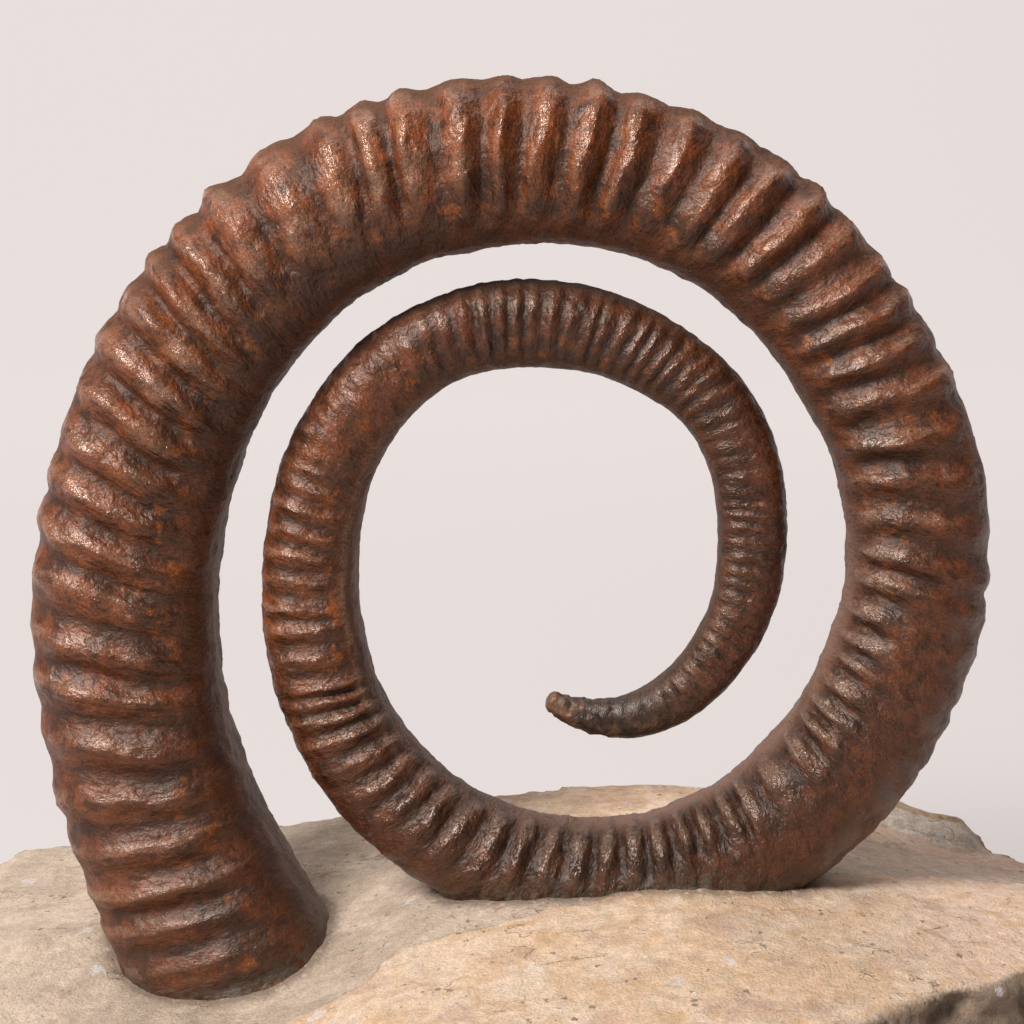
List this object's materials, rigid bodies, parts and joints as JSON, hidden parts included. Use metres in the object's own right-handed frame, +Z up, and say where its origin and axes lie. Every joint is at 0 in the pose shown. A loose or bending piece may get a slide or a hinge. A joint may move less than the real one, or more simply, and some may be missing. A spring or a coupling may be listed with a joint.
{
  "type": "fossil ammonite",
  "caption": "Open-coiled ribbed brown fossil ammonite standing upright on a rough cream limestone block",
  "frame": {"origin": "centre of the stone's flat underside, which is the bottom centre of the whole object's box", "axes": "+Z up, +X along the stone's length to the right as seen from the front, -Y towards the viewer of the coil's face"},
  "size_m": [0.29, 0.167, 0.2576],
  "materials": {
    "fossil_shell": "dark reddish brown fossil shell, semi-gloss where polished and dusty in the hollows",
    "limestone": "matte cream fine-grained limestone with ochre skin and grey specks"
  },
  "bodies": {
    "root": {"ammonite_shell": "fossil_shell", "limestone_block": "limestone"}
  },
  "joints": []
}
